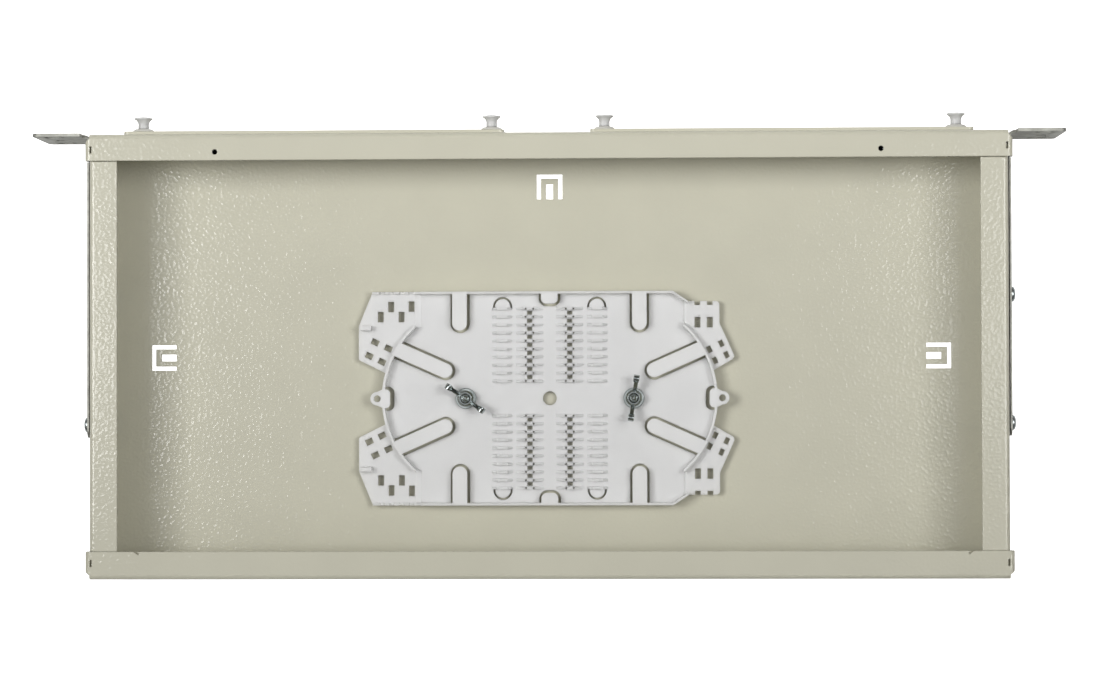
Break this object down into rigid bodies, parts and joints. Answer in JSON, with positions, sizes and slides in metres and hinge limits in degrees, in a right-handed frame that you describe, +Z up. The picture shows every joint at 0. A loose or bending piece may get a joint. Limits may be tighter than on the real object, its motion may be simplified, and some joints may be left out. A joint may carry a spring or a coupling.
{
  "type": "fibre distribution box",
  "caption": "Shallow rack-mount fibre distribution box with the cover off: folded tray with front adapter panels on push latches, rack ears and a splice tray on wing nuts.",
  "frame": {"origin": "middle of the underside of the chassis", "axes": "+X to the right as seen from the front, -Y out of the front panels, +Z up"},
  "size_m": [0.484, 0.219, 0.0436],
  "materials": {
    "powder_coat": "warm grey powder coat with fine orange peel",
    "ear_steel": "dull zinc plate",
    "fastener_zinc": "bright zinc plate",
    "wing_nut_zinc": "cast, zinc plated",
    "stud_steel": "threaded, plated",
    "tray_plastic": "white moulded",
    "grommet_plastic": "moulded nylon",
    "latch_nylon": "milky nylon"
  },
  "bodies": {
    "box": {"chassis_tray": "powder_coat", "splice_tray": "tray_plastic", "right_adapter_panel": "powder_coat", "right_rack_ear": "ear_steel", "right_ear_screws": "fastener_zinc", "right_ear_nuts": "fastener_zinc", "right_tray_stud": "stud_steel", "right_tray_washer": "fastener_zinc", "left_adapter_panel": "powder_coat", "left_rack_ear": "ear_steel", "left_ear_screws": "fastener_zinc", "left_ear_nuts": "fastener_zinc", "left_tray_stud": "stud_steel", "left_tray_washer": "fastener_zinc", "right_inner_latch_grommet": "grommet_plastic", "right_outer_latch_grommet": "grommet_plastic", "left_inner_latch_grommet": "grommet_plastic", "left_outer_latch_grommet": "grommet_plastic"},
    "right_inner_plunger": {"right_inner_latch_plunger": "latch_nylon"},
    "right_outer_plunger": {"right_outer_latch_plunger": "latch_nylon"},
    "left_inner_plunger": {"left_inner_latch_plunger": "latch_nylon"},
    "left_outer_plunger": {"left_outer_latch_plunger": "latch_nylon"},
    "right_wing_nut": {"right_wing_nut": "wing_nut_zinc"},
    "left_wing_nut": {"left_wing_nut": "wing_nut_zinc"}
  },
  "joints": [
    {"name": "right_inner_plunger_pull", "type": "slide", "parent": "box", "child": "right_inner_plunger", "axis": [0, -1, 0], "range_m": [0, 0.006]},
    {"name": "right_outer_plunger_pull", "type": "slide", "parent": "box", "child": "right_outer_plunger", "axis": [0, -1, 0], "range_m": [0, 0.006]},
    {"name": "left_inner_plunger_pull", "type": "slide", "parent": "box", "child": "left_inner_plunger", "axis": [0, -1, 0], "range_m": [0, 0.006]},
    {"name": "left_outer_plunger_pull", "type": "slide", "parent": "box", "child": "left_outer_plunger", "axis": [0, -1, 0], "range_m": [0, 0.006]},
    {"name": "right_wing_nut_turn", "type": "hinge", "parent": "box", "child": "right_wing_nut", "pos_m": [0.04025, 0.02, 0.0057], "axis": [0, 0, 1], "continuous": true},
    {"name": "left_wing_nut_turn", "type": "hinge", "parent": "box", "child": "left_wing_nut", "pos_m": [-0.04025, 0.02, 0.0057], "axis": [0, 0, 1], "continuous": true}
  ]
}
